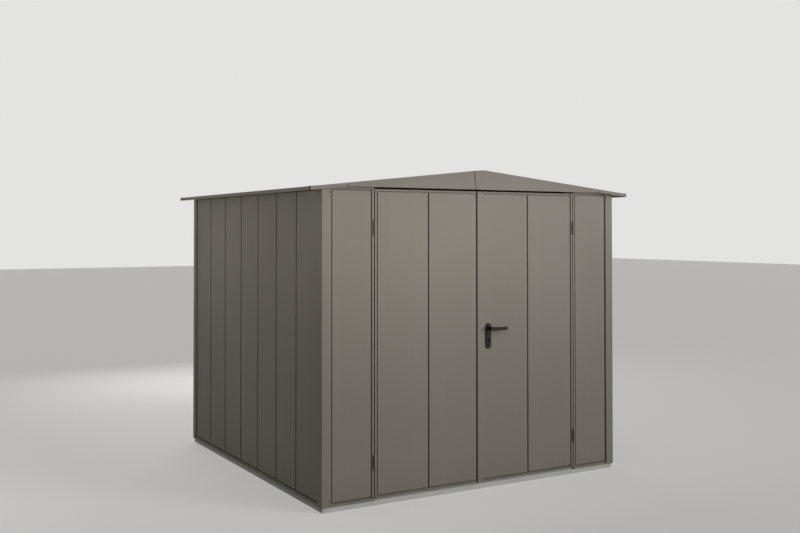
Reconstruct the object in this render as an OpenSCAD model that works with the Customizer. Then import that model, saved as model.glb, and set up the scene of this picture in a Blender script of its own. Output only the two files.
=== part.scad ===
// Metal tool shed: folded sheet-metal trays on a thin slab, a shallow gable roof and a double door.
// Units are millimetres. +Z is up, the doors face -Y, and the origin is the middle of the slab's underside.
// Heights named below are counted from the top of the slab.

/* [Shed] */
// Width over the side walls
body_w = 2380; // [1900:10:3200]
// Depth over the front and back walls
body_d = 2380; // [1400:10:3400]
// Height of the side walls, from the slab to the roof sheet
wall_h = 1974; // [1640:1:2400]
// Trays in each side wall
side_trays = 7; // [3:1:10]
// Trays in the back wall
back_trays = 7; // [3:1:10]

/* [Slab] */
// Thickness of the slab
slab_h = 32; // [20:1:120]
// How far the walls stand out past the slab's edge
slab_inset = 7; // [0:1:12]

/* [Trays and posts] */
// Depth of a folded wall tray
tray_d = 22; // [18:1:32]
// Width of the groove between two trays
groove_w = 7; // [4:0.5:12]
// Depth of the groove between two trays
groove_d = 11; // [6:1:14]
// Visible face of a corner post, on each of its two sides
post_face = 65.5; // [50:0.5:90]
// How far a corner post stands out in front of the trays
post_proud = 4; // [0:0.5:6]
// Width of the groove beside a corner post
post_gap = 9; // [5:0.5:12]
// Visible height of the base rail
base_face = 17.5; // [12:0.5:30]
// Visible height of the rail above the side trays
top_face = 3.5; // [2:0.5:30]
// Thickness of the lips that the trays are screwed to
lip_t = 4; // [2:0.5:6]
// How far a lip reaches behind a tray
lip_reach = 30; // [15:1:40]

/* [Doors] */
// Width of the doorway between the door posts
door_w = 1644; // [1300:2:1720]
// Visible face of a door post
jamb_face = 15; // [12:1:20]
// Depth of the door posts and of the header
jamb_d = 60; // [50:1:90]
// Gap between a leaf and its post
door_gap = 6; // [5:0.5:8]
// Gap between the two leaves
meeting_gap = 7; // [6:0.5:9]
// Half of the middle zone that the cover strip and the meeting gap fill
strip_half = 26.5; // [20:0.5:40]
// Thickness of a leaf
leaf_t = 30; // [28:1:38]
// Gap between the slab and a leaf
leaf_bottom = 11; // [8:1:20]
// How far a leaf's top edge stands above the top edge of the fixed trays
leaf_rise = 12.5; // [10:0.5:13]
// Visible rim of a leaf on its hinge side
side_rim = 15; // [12:0.5:24]
// Visible rim of a leaf at its top and bottom
end_rim = 11.5; // [10:0.5:20]
// Width of the hinge stile, the middle stile and the rails on the back of a leaf
stile_w = 60; // [40:1:90]
// Width of the lock stile on the back of a leaf
lock_stile_w = 110; // [100:1:140]
// How far the door stop reaches behind a leaf
stop_reach = 22; // [12:1:30]
// Clearance between a closed leaf and its stop
stop_gap = 6; // [5:0.5:8]

/* [Hinges] */
// Height of the lower hinge's bottom end
hinge_low = 199; // [120:1:400]
// Distance from the top of a leaf down to the upper hinge's bottom end
hinge_down = 291; // [200:1:400]
// Length of a hinge
hinge_len = 91; // [70:1:120]
// Radius of a hinge barrel
barrel_r = 7; // [6:0.5:8]
// Radius of a hinge pin
pin_r = 3.5; // [2.5:0.25:4.5]
// How far the hinge axis stands in front of the doors
hinge_out = 8.5; // [8:0.5:12]

/* [Handle] */
// Distance of the spindle from the middle of the doorway
handle_x = 70; // [50:1:70]
// Height of the spindle
handle_z = 1050; // [900:1:1150]
// Width of the handle plate
plate_w = 42; // [34:1:44]
// Length of the handle plate
plate_len = 172; // [160:1:240]
// Distance from the spindle up to the plate's top end
plate_rise = 31; // [25:1:40]
// Thickness of the handle plate
plate_t = 8; // [5:0.5:10]
// Length of the lever from its spindle
lever_len = 130; // [110:1:150]
// Height of the lever's grip
grip_h = 24; // [16:1:26]
// How far the grip's middle lies below the spindle
grip_drop = 6; // [0:1:10]
// Thickness of the lever's grip
grip_t = 12; // [8:0.5:14]
// How far the lever stands out from the leaf
lever_out = 50; // [40:1:52]
// Distance from the spindle down to the lock cylinder
lock_drop = 72; // [70:1:92]

/* [Roof] */
// Slope of the roof in degrees
roof_pitch = 6; // [4:0.5:12]
// Overhang past the side walls
eave_over = 104; // [60:1:160]
// Overhang past the front and back walls
gable_over = 52; // [52:1:120]
// Height of the folded trim round the roof's edge
trim_h = 24; // [22:1:40]
// Thickness of the trim and the gable boards
trim_t = 4; // [2:0.5:6]
// Thickness of the roof sheet
sheet_t = 6; // [4:1:10]
// Ribs on each roof sheet
rib_count = 9; // [4:1:14]
// Half width of the ridge cap
cap_half = 140; // [80:5:220]
// Distance of the gable board's lap from the ridge
lap_x = 64; // [30:1:120]

/* [Hidden] */
$fn = 48;

// Colours of the finishes
paint = "#7d796e";
shade_paint = "#6f6b61";
concrete = "#b3b1ab";
dark_metal = "#2c2d2f";
zinc = "#9a9c9e";

// Fits
seam = 0.5;           // hairline between two pieces that are bolted edge to edge
pin_fit = 0.05;       // radial clearance of a pin or neck in its bore
lift_gap = 0.5;       // height between the two halves of a hinge
lock_fit = 0.3;       // clearance round the lock cylinder in the handle plates
cut_room = 2;         // clearance round the cylinder and the necks inside the leaf
roof_seat = 0.1;      // play between the roof sheets and what carries them
over = 1;             // how far a cutting tool runs past the face that it cuts

// Walls
post_edge = post_face - post_proud;                // walls' corner to the edge of the post's face
post_c = post_edge + post_gap - groove_w / 2;      // walls' corner to where the first tray's cell begins
base_c = base_face + groove_w / 2;                 // slab to the middle of the groove over the base rail
tray_top = wall_h - top_face - groove_w;           // top edge of the wall trays
top_c = tray_top + groove_w / 2;                   // middle of the groove over the wall trays
lip_d = tray_d + lip_t;                            // depth of the walls with their lips
lip_h = base_face + lip_reach + 12;                // height of the base rail's lip
side_span = [-body_d / 2 + post_c, body_d / 2 - post_c];
back_span = [-body_w / 2 + post_c, body_w / 2 - post_c];
post_reach = post_gap - groove_w / 2 - seam;       // from a cell's end to a corner post's face
jamb_reach = groove_w / 2 - seam;                  // from a cell's end to a door post's face
post_to_post = [post_reach, post_reach];
jamb_to_post = [jamb_reach, post_reach];
post_x = body_w / 2 + post_proud;                  // middle of the shed to a corner post's side face

// Doors, measured on the right-hand side
opening = door_w / 2;
jamb_c = opening + jamb_face + groove_w / 2;       // middle of the groove beside a door post
leaf_edge = opening - door_gap;                    // hinge-side edge of a leaf
leaf_top = tray_top + leaf_rise;
rim_c = leaf_edge - side_rim - groove_w / 2;       // middle of the groove beside the hinge rim
mid_c = (rim_c - groove_w / 2 + strip_half) / 2;   // middle of the groove between a leaf's two trays
low_c = leaf_bottom + end_rim + groove_w / 2;      // middle of a leaf's bottom groove
high_c = leaf_top - end_rim - groove_w / 2;        // middle of a leaf's top groove
left_free = -strip_half;                           // free edge of the left leaf
right_free = -strip_half + meeting_gap;            // free edge of the right leaf
stop_d = leaf_t + stop_gap;                        // depth at which the door stops begin
stop_lap = stop_reach + door_gap;                  // how far a stop reaches into the doorway
head_gap = 8;                                      // space over the leaves
head_z = leaf_top + head_gap;                      // underside of the header over the leaves
head_set = 15;                                     // how far that header is set back
head_h = 16;                                       // height of the header over the leaves
sill_h = 5;                                        // height of the threshold under the leaves
sill_lip = 22;                                     // height of the threshold's stop
hinge_up = leaf_top - hinge_down;                  // height of the upper hinge's bottom end
hinge_x = opening - door_gap / 2;
tab_t = door_gap / 2 - seam;                       // thickness of a hinge's tab in the door gap
tab_d = 20;                                        // how deep the tab reaches into the gap

// Handle
neck_r = 8;                                        // bearing neck of a lever in its plate
boss_r = 11;                                       // round boss behind the lever's grip
spindle_r = 4;
lock_r = 8.5;                                      // round part of the lock cylinder
lock_foot_r = 5;                                   // rounded foot of the lock cylinder
lock_leg = 24;                                     // from the round part's middle down to the foot's
lock_proud = 3;                                    // how far the cylinder stands out of the plates

// Roof, with heights from the top of the slab
slope = tan(roof_pitch);
sheet_drop = trim_h - 5;                           // roof line down to the sheet's underside
roof_at_wall = wall_h + sheet_drop;
eave_x = body_w / 2 + eave_over;
gable_y = body_d / 2 + gable_over;
board_z = leaf_top + 9;                            // lower edge of the gable boards
cap_t = 2;
rib_gap = 0.2;                                     // play between the ribs and the ridge cap
rib_foot = 66;
rib_head = 34;
rib_inset = 8;                                     // how far the ribs end short of the eave trim
beam_w = 50;
beam_h = 60;
purlin_w = 40;
purlin_h = 40;

function roof_z(x) = roof_at_wall + (body_w / 2 - abs(x)) * slope;
function under_z(x) = roof_z(x) - sheet_drop;
function seat_z(x) = under_z(x) - roof_seat;

board_x = (roof_z(0) - trim_h - board_z) / slope;  // where the gable board runs out into the trim

// ---- placing ----

module on_front() translate([0, -body_d / 2, slab_h]) children();
module on_back() rotate([0, 0, 180]) translate([0, -body_d / 2, slab_h]) children();
module on_left() rotate([0, 0, -90]) translate([0, -body_w / 2, slab_h]) children();
module on_right() rotate([0, 0, 90]) translate([0, -body_w / 2, slab_h]) children();
module swap_x() mirror([1, 0, 0]) children();
module swap_y() mirror([0, 1, 0]) children();

// A block given by its ranges in x, y and z
module block(x, y, z) translate([x[0], y[0], z[0]]) cube([x[1] - x[0], y[1] - y[0], z[1] - z[0]]);

// An outline in X and Z, carried from y[0] to y[1]
module prism(y, points)
    translate([0, y[1], 0]) rotate([90, 0, 0]) linear_extrude(y[1] - y[0]) polygon(points);

// Everything below the roof sheets, to trim what reaches up to them
module under_roof()
    translate([0, 0, slab_h])
        prism([-body_d / 2 - post_proud, body_d / 2 + post_proud],
              [[-post_x, 0], [post_x, 0], [post_x, seat_z(post_x)], [0, seat_z(0)],
               [-post_x, seat_z(post_x)]]);

// A folded tray in the cell x, z between groove middles. g says which of its left, right, low and
// high sides have a groove; the others end at the cell.
module tray(x, z, g = [1, 1, 1, 1]) {
    a = groove_w / 2 * g;
    b = seam / 2 * g;
    block([x[0] + a[0], x[1] - a[1]], [0, groove_d], [z[0] + a[2], z[1] - a[3]]);
    block([x[0] + b[0], x[1] - b[1]], [groove_d, tray_d], [z[0] + b[2], z[1] - b[3]]);
}

// A row of trays that fills the wall between two corner posts
module tray_row(length, count) {
    pitch = (length - 2 * post_c) / count;
    for (i = [0 : count - 1])
        tray([-length / 2 + post_c + i * pitch, -length / 2 + post_c + (i + 1) * pitch], [base_c, top_c]);
}

// A rail between the posts at x[0] and x[1]. Its face reaches out by reach to meet theirs in a hairline,
// so that the grooves run round each wall like a frame; the trays are screwed to its back and its lip.
module rail(x, reach, face_z, back_z, lip_z) {
    block([x[0] - reach[0], x[1] + reach[1]], [0, groove_d], face_z);
    block([x[0] + seam / 2, x[1] - seam / 2], [groove_d, tray_d], back_z);
    block([x[0] + lip_reach + seam, x[1] - lip_reach - seam], [tray_d, lip_d], lip_z);
}

module base_rail(x, reach) rail(x, reach, [0, base_face], [0, base_c - seam / 2], [0, lip_h]);

// A rail along the head of a wall, as tall as the roof lets it be
module head_rail(x, reach, z_top)
    rail(x, reach, [top_c + groove_w / 2, z_top], [top_c + seam / 2, z_top], [tray_top - lip_reach, z_top]);

// ---- slab and rails ----

module floor_slab() {
    half_w = body_w / 2 - slab_inset;
    half_d = body_d / 2 - slab_inset;
    color(concrete) block([-half_w, half_w], [-half_d, half_d], [0, slab_h]);
}

module base_rail_left() color(paint) on_left() base_rail(side_span, post_to_post);
module base_rail_right() color(paint) on_right() base_rail(side_span, post_to_post);
module base_rail_back() color(paint) on_back() base_rail(back_span, post_to_post);
module base_rail_front() color(paint) on_front() for (side = [0, 1]) mirror([side, 0, 0])
    base_rail([jamb_c, body_w / 2 - post_c], jamb_to_post);

// A beam across the doorway between the door posts, notched round their stops
module doorway_beam(z) {
    block([-opening, opening], [head_set, stop_d], z);
    block([-opening + stop_lap, opening - stop_lap], [stop_d, jamb_d], z);
}

module door_threshold() color(zinc) on_front() {
    doorway_beam([0, sill_h]);
    block([-opening + stop_lap, opening - stop_lap], [stop_d, stop_d + lip_t], [sill_h, sill_lip]);
}

// ---- posts ----

// An L-shaped corner post with a groove shoulder and a lip on each leg
module corner_post() color(paint) {
    out = -post_proud;
    edge = post_c - seam / 2;
    tip = post_c + lip_reach;
    intersection() {
        translate([-body_w / 2, -body_d / 2, slab_h])
            linear_extrude(wall_h + trim_h)
                polygon([[out, out], [post_edge, out], [post_edge, groove_d], [edge, groove_d],
                         [edge, tray_d], [tip, tray_d], [tip, lip_d], [lip_d, lip_d], [lip_d, tip],
                         [tray_d, tip], [tray_d, edge], [groove_d, edge], [groove_d, post_edge],
                         [out, post_edge]]);
        under_roof();
    }
}
module corner_post_front_left() corner_post();
module corner_post_front_right() swap_x() corner_post();
module corner_post_back_left() swap_y() corner_post();
module corner_post_back_right() swap_x() swap_y() corner_post();

// A door post with a stop behind the leaf and a lip behind the fixed tray
module door_post() color(paint) {
    face_end = opening + jamb_face;
    edge = jamb_c - seam / 2;
    intersection() {
        on_front()
            linear_extrude(wall_h + trim_h * 3)
                polygon([[opening, 0], [face_end, 0], [face_end, groove_d], [edge, groove_d], [edge, tray_d],
                         [edge + lip_reach, tray_d], [edge + lip_reach, lip_d], [edge, lip_d], [edge, jamb_d],
                         [opening - stop_lap, jamb_d], [opening - stop_lap, stop_d], [opening, stop_d]]);
        under_roof();
    }
}
module door_post_right() door_post();
module door_post_left() swap_x() door_post();

// ---- walls ----

module left_wall_panels() color(paint) on_left() tray_row(body_d, side_trays);
module right_wall_panels() color(paint) on_right() tray_row(body_d, side_trays);
module back_wall_panels() color(paint) on_back() tray_row(body_w, back_trays);
module fixed_panel_right() color(paint) on_front() tray([jamb_c, body_w / 2 - post_c], [base_c, top_c]);
module fixed_panel_left() swap_x() fixed_panel_right();

module top_rails() color(paint) intersection() {
    union() {
        on_left() head_rail(side_span, post_to_post, wall_h + trim_h);
        on_right() head_rail(side_span, post_to_post, wall_h + trim_h);
    }
    under_roof();
}

// Flush rails over the fixed trays, and a set-back beam with a stop over the leaves
module front_header() color(shade_paint) intersection() {
    on_front() {
        for (side = [0, 1]) mirror([side, 0, 0])
            head_rail([jamb_c, body_w / 2 - post_c], jamb_to_post, wall_h + 4 * trim_h);
        doorway_beam([head_z, head_z + head_h]);
        block([-opening + stop_lap, opening - stop_lap], [stop_d, jamb_d], [leaf_top - stop_reach, head_z]);
    }
    under_roof();
}

module gable_sheet_front() color(shade_paint) translate([0, 0, slab_h]) {
    x = opening - stop_lap;
    prism([-body_d / 2 + stop_d, -body_d / 2 + jamb_d],
          [[-x, head_z + head_h], [x, head_z + head_h], [x, seat_z(x)], [0, seat_z(0)], [-x, seat_z(x)]]);
}

module gable_sheet_back() color(paint) intersection() {
    on_back() head_rail(back_span, post_to_post, under_z(0) + over);
    under_roof();
}

// ---- doors ----

// Frame of a leaf that runs from its free edge to the hinge side: a rim round the trays, and
// stiles and rails behind them. strip is the width that the cover strip takes at the free edge.
module leaf_frame(free, strip) {
    back_free = strip > 0 ? lock_stile_w : stile_w;
    difference() {
        block([free, leaf_edge], [0, leaf_t], [leaf_bottom, leaf_top]);
        block([free - over, rim_c + groove_w / 2], [-over, tray_d],
              [low_c - groove_w / 2, high_c + groove_w / 2]);
        if (strip > 0)
            block([free - over, free + strip + seam], [-over, tray_d], [leaf_bottom - over, leaf_top + over]);
        block([free + back_free, mid_c - stile_w / 2], [tray_d - over, leaf_t + over],
              [leaf_bottom + stile_w, leaf_top - stile_w]);
        block([mid_c + stile_w / 2, leaf_edge - stile_w], [tray_d - over, leaf_t + over],
              [leaf_bottom + stile_w, leaf_top - stile_w]);
    }
}

module outer_leaf_tray() tray([mid_c, rim_c], [low_c, high_c]);

// Holes for the spindle and the lock cylinder, cut through the whole leaf
module lock_holes() {
    translate([handle_x, leaf_t + over, handle_z]) rotate([90, 0, 0])
        cylinder(h = leaf_t + 2 * over, r = neck_r + cut_room);
    cylinder_profile(-over, leaf_t + over, cut_room);
}

// The key cylinder's outline, grown by room, from depth y0 to y1
module cylinder_profile(y0, y1, room) translate([handle_x, y1, handle_z - lock_drop]) {
    rotate([90, 0, 0]) cylinder(h = y1 - y0, r = lock_r + room);
    translate([0, 0, -lock_leg]) rotate([90, 0, 0]) cylinder(h = y1 - y0, r = lock_foot_r + room);
    block([-lock_foot_r - room, lock_foot_r + room], [y0 - y1, 0], [-lock_leg, 0]);
}

module left_door_frame() color(paint) on_front() swap_x() leaf_frame(-left_free, 0);
module left_door_panels() color(paint) on_front() swap_x() {
    outer_leaf_tray();
    tray([-left_free, mid_c], [low_c, high_c], [0, 1, 1, 1]);
}

module right_door_frame() color(paint) on_front() difference() {
    leaf_frame(right_free, strip_half - right_free);
    lock_holes();
}
module right_door_panels() color(paint) on_front() difference() {
    union() {
        outer_leaf_tray();
        tray([right_free, mid_c], [low_c, high_c], [0, 1, 1, 1]);
        block([right_free, strip_half], [0, tray_d], [leaf_bottom, leaf_top]);
    }
    lock_holes();
}

// ---- hinges ----

// Lower half of a lift-off hinge: a knuckle with its pin, and a tab on the door post
module hinge_pin() translate([hinge_x, -hinge_out, 0]) {
    half = (hinge_len - lift_gap) / 2;
    cylinder(h = half, r = barrel_r);
    cylinder(h = hinge_len - barrel_r, r = pin_r);
    block([door_gap / 2 - tab_t, door_gap / 2], [0, hinge_out + tab_d], [0, half]);
}

// Upper half: a capped sleeve over the pin, and a tab on the leaf
module hinge_sleeve() translate([hinge_x, -hinge_out, 0]) {
    half = (hinge_len - lift_gap) / 2;
    difference() {
        union() {
            translate([0, 0, hinge_len - half]) cylinder(h = half, r = barrel_r);
            block([-door_gap / 2, -door_gap / 2 + tab_t], [0, hinge_out + tab_d],
                  [hinge_len - half, hinge_len]);
        }
        cylinder(h = hinge_len - barrel_r + lift_gap, r = pin_r + pin_fit);
    }
}

module both_heights() for (z = [hinge_low, hinge_up]) translate([0, 0, z]) children();
module hinge_pins_right() color(zinc) on_front() both_heights() hinge_pin();
module hinge_pins_left() swap_x() hinge_pins_right();
module hinge_sleeves_right() color(zinc) on_front() both_heights() hinge_sleeve();
module hinge_sleeves_left() swap_x() hinge_sleeves_right();

// ---- handle ----

// A long plate with round ends, its back at depth y0 and its face plate_t in front of it
module handle_plate(y0) difference() {
    union() {
        low = handle_z + plate_rise - plate_len;
        high = handle_z + plate_rise;
        end_r = plate_w / 2;
        block([handle_x - end_r, handle_x + end_r], [y0 - plate_t, y0], [low + end_r, high - end_r]);
        for (z = [low + end_r, high - end_r])
            translate([handle_x, y0, z]) rotate([90, 0, 0]) cylinder(h = plate_t, r = end_r);
    }
    translate([handle_x, y0 + over, handle_z]) rotate([90, 0, 0])
        cylinder(h = plate_t + 2 * over, r = neck_r + pin_fit);
    cylinder_profile(y0 - plate_t - over, y0 + over, lock_fit);
}

// A lever that stands out in front of a plate whose back is at depth 0
module lever() translate([handle_x, 0, handle_z]) {
    end_r = grip_h / 2;
    rotate([90, 0, 0]) cylinder(h = plate_t + seam, r = neck_r);
    translate([0, -plate_t - seam, 0]) rotate([90, 0, 0])
        cylinder(h = lever_out - plate_t - seam, r = boss_r);
    block([0, lever_len - end_r], [-lever_out, grip_t - lever_out], [-grip_drop - end_r, end_r - grip_drop]);
    translate([lever_len - end_r, grip_t - lever_out, -grip_drop]) rotate([90, 0, 0])
        cylinder(h = grip_t, r = end_r);
    rotate([-90, 0, 0]) cylinder(h = leaf_t / 2, r = spindle_r);
}

module inside_out() translate([0, leaf_t, 0]) swap_y() children();
module handle_plate_outside() color(dark_metal) on_front() handle_plate(0);
module handle_plate_inside() color(dark_metal) on_front() inside_out() handle_plate(0);
module lever_outside() color(dark_metal) on_front() lever();
module lever_inside() color(dark_metal) on_front() inside_out() lever();
module lock_cylinder() color(zinc) on_front()
    cylinder_profile(-plate_t - lock_proud, leaf_t + plate_t + lock_proud, 0);

// ---- roof ----

module ridge_beam() color(zinc) translate([0, 0, slab_h])
    prism([-body_d / 2 + jamb_d, body_d / 2 - lip_d],
          [[-beam_w / 2, seat_z(0) - beam_h], [beam_w / 2, seat_z(0) - beam_h],
           [beam_w / 2, seat_z(beam_w / 2)], [0, seat_z(0)], [-beam_w / 2, seat_z(beam_w / 2)]]);

module purlins() color(zinc) translate([0, 0, slab_h]) for (side = [0, 1]) mirror([side, 0, 0]) {
    low = door_w / 4;
    high = low + purlin_w;
    prism([-body_d / 2 + jamb_d, body_d / 2 - lip_d],
          [[low, seat_z(high) - purlin_h], [high, seat_z(high) - purlin_h],
           [high, seat_z(high)], [low, seat_z(low)]]);
}

// A flat sheet with raised ribs down the slope
module roof_sheet() {
    x0 = seam / 2;
    x1 = eave_x - trim_t;
    half_d = gable_y - trim_t;
    deck = sheet_drop - sheet_t;                   // roof line down to the sheet's face
    rib_top = (cap_t + rib_gap) * cos(roof_pitch);
    rib_low = (deck + sheet_t / 2) * cos(roof_pitch);
    pitch = 2 * half_d / rib_count;
    translate([0, 0, slab_h]) {
        prism([-half_d, half_d],
              [[x0, under_z(x0)], [x1, under_z(x1)], [x1, under_z(x1) + sheet_t],
               [x0, under_z(x0) + sheet_t]]);
        for (i = [0 : rib_count - 1])
            translate([0, -half_d + (i + 0.5) * pitch, roof_z(0)]) rotate([0, 90 + roof_pitch, 0])
                translate([0, 0, beam_w / 2])
                    linear_extrude((x1 - rib_inset) / cos(roof_pitch) - beam_w / 2)
                        polygon([[rib_low, -rib_foot / 2], [rib_low, rib_foot / 2],
                                 [rib_top, rib_head / 2], [rib_top, -rib_head / 2]]);
    }
}
module roof_sheet_right() color(shade_paint) roof_sheet();
module roof_sheet_left() color(shade_paint) swap_x() roof_sheet();

module ridge_cap() color(paint) translate([0, 0, slab_h])
    prism([-gable_y + trim_t, gable_y - trim_t],
          [[-cap_half, roof_z(cap_half) - cap_t], [0, roof_z(0) - cap_t],
           [cap_half, roof_z(cap_half) - cap_t], [cap_half, roof_z(cap_half)], [0, roof_z(0)],
           [-cap_half, roof_z(cap_half)]]);

module eave_trim_right() color(paint)
    block([eave_x - trim_t, eave_x], [-gable_y + trim_t, gable_y - trim_t],
          [slab_h + roof_z(eave_x) - trim_h, slab_h + roof_z(eave_x)]);
module eave_trim_left() swap_x() eave_trim_right();

// The half of a gable board that carries the ridge's peak, from the lap to the far eave
module peak_board() translate([0, 0, slab_h])
    prism([-gable_y, -gable_y + trim_t],
          [[-lap_x + seam, board_z], [board_x, board_z], [eave_x, roof_z(eave_x) - trim_h],
           [eave_x, roof_z(eave_x)], [0, roof_z(0)], [-lap_x + seam, roof_z(lap_x)]]);

// The other half, from the near eave to the lap
module plain_board() translate([0, 0, slab_h])
    prism([-gable_y, -gable_y + trim_t],
          [[-lap_x, board_z], [-lap_x, roof_z(lap_x)], [-eave_x, roof_z(eave_x)],
           [-eave_x, roof_z(eave_x) - trim_h], [-board_x, board_z]]);

module fascia_front_right() color(paint) peak_board();
module fascia_front_left() color(paint) plain_board();
module fascia_back_left() color(paint) rotate([0, 0, 180]) peak_board();
module fascia_back_right() color(paint) rotate([0, 0, 180]) plain_board();

floor_slab();
base_rail_left();
base_rail_right();
base_rail_back();
base_rail_front();
door_threshold();
corner_post_front_left();
corner_post_front_right();
corner_post_back_left();
corner_post_back_right();
left_wall_panels();
right_wall_panels();
back_wall_panels();
fixed_panel_left();
fixed_panel_right();
top_rails();
front_header();
gable_sheet_front();
gable_sheet_back();
door_post_left();
door_post_right();
left_door_frame();
left_door_panels();
right_door_frame();
right_door_panels();
hinge_pins_left();
hinge_pins_right();
hinge_sleeves_left();
hinge_sleeves_right();
handle_plate_outside();
handle_plate_inside();
lever_outside();
lever_inside();
lock_cylinder();
ridge_beam();
purlins();
roof_sheet_left();
roof_sheet_right();
ridge_cap();
eave_trim_left();
eave_trim_right();
fascia_front_left();
fascia_front_right();
fascia_back_left();
fascia_back_right();
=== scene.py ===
import math

import bpy
import numpy as np
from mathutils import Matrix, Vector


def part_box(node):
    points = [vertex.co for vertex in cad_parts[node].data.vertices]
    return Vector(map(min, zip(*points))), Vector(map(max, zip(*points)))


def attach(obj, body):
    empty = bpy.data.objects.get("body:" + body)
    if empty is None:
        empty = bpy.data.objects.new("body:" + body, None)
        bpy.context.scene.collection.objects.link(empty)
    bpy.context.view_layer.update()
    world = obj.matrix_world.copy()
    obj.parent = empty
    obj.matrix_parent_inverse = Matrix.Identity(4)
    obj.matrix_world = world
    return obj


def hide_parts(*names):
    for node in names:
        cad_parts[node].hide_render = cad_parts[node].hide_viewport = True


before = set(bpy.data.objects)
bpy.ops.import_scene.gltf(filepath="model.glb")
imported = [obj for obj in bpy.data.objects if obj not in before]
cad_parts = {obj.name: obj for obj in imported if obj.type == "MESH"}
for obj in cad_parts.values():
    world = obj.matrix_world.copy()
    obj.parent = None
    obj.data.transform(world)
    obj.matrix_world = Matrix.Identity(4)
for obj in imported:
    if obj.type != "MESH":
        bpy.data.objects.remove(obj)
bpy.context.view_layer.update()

mm = 0.001


def boxOf(node):
    # lowest and highest corner of a CAD node, in millimetres
    return [np.array(corner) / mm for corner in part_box(node)]


# Main sizes come from the CAD nodes. Heights below are counted from the top of the slab.
slabTop = boxOf("floor_slab")[1][2]
halfW = -boxOf("left_wall_panels")[0][0]
halfD = -boxOf("fixed_panel_left")[0][1]
postOut = -boxOf("corner_post_front_left")[0][0] - halfW
eaveX = boxOf("eave_trim_right")[1][0]
gableY = boxOf("fascia_back_left")[1][1]
ridgeZ = boxOf("ridge_cap")[1][2] - slabTop
eaveZ = boxOf("eave_trim_right")[1][2] - slabTop
slope = (ridgeZ - eaveZ) / eaveX
leafBottom = boxOf("left_door_frame")[0][2] - slabTop
leafTop = boxOf("left_door_frame")[1][2] - slabTop
leafEdge = -boxOf("left_door_frame")[0][0]


# A shape is (points, quads, end faces) in millimetres.

def gridShape(rows, wrap=False, caps=(False, False), loop=False):
    # rows[i, j] is the point at step i along the piece and step j round it, and each quad joins four
    # neighbours. Wrap closes the outline, caps close both ends and loop joins the last row to the first.
    steps, around = rows.shape[:2]
    index = np.arange(steps * around).reshape(steps, around)
    ends = []
    if caps[0]:
        ends.append(index[0])
    if caps[1]:
        ends.append(index[-1, ::-1])
    if wrap:
        index = np.hstack([index, index[:, :1]])
    if loop:
        index = np.vstack([index, index[:1]])
    quads = np.stack([index[:-1, :-1], index[1:, :-1], index[1:, 1:], index[:-1, 1:]], axis=-1)
    return rows.reshape(-1, 3), quads.reshape(-1, 4), ends


def turned(shape):
    # the same shape with its faces the other way round
    points, quads, ends = shape
    return points, quads[:, ::-1], [end[::-1] for end in ends]


def areaVector(shape):
    # sum of the faces' area vectors, each half the cross product of a face's diagonals
    points, quads, ends = shape
    a, b, c, d = (points[quads[:, k]] for k in range(4))
    total = np.cross(c - a, d - b).sum(axis=0) / 2
    for end in ends:
        p = points[end]
        total = total + np.cross(p, np.roll(p, -1, axis=0)).sum(axis=0) / 2
    return total


def volumeOf(shape):
    # a sixth of the sum of triple products over the triangles of all faces
    points, quads, ends = shape
    points = points - points.mean(axis=0)
    a, b, c, d = (points[quads[:, k]] for k in range(4))
    total = np.sum(a * np.cross(b, c)) + np.sum(a * np.cross(c, d))
    for end in ends:
        p = points[end]
        total += np.sum(p[0] * np.cross(p[1:-1], p[2:]))
    return total / 6


def closed(shape):
    # a closed shape with its faces outwards
    return turned(shape) if volumeOf(shape) < 0 else shape


def facing(shape, direction):
    # an open sheet with its faces towards direction
    return turned(shape) if np.dot(areaVector(shape), direction) < 0 else shape


def placed(shape, place):
    # the same shape with its points put through place, a turn or a shift
    return place(shape[0]), shape[1], shape[2]


def flipX(shape):
    # the mirror image in x = 0, with its faces turned back outwards
    return turned(placed(shape, lambda p: p * [-1, 1, 1]))


def flipY(shape):
    # the mirror image in y = 0
    return turned(placed(shape, lambda p: p * [1, -1, 1]))


def placedAll(shapes, place):
    return [placed(shape, place) for shape in shapes]


def mirrored(shapes):
    return [flipX(shape) for shape in shapes]


def grid(x, y, z):
    # a grid of points from its coordinates, each given only along the steps where it changes
    return np.stack(np.broadcast_arrays(x, y, z), -1)


def solid(rows):
    # a closed outline at every row, with both ends closed
    return closed(gridShape(rows, True, (True, True)))


def onWall(side):
    # a wall's own frame is (along it, depth behind its face, height); the four are quarter turns
    def place(p):
        u, d, h = p[..., 0], p[..., 1], p[..., 2] + slabTop
        x, y = {"front": (u, d - halfD), "back": (-u, halfD - d),
                "left": (d - halfW, -u), "right": (halfW - d, u)}[side]
        return np.stack([x, y, h], axis=-1)
    return place


onFront = onWall("front")


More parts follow.
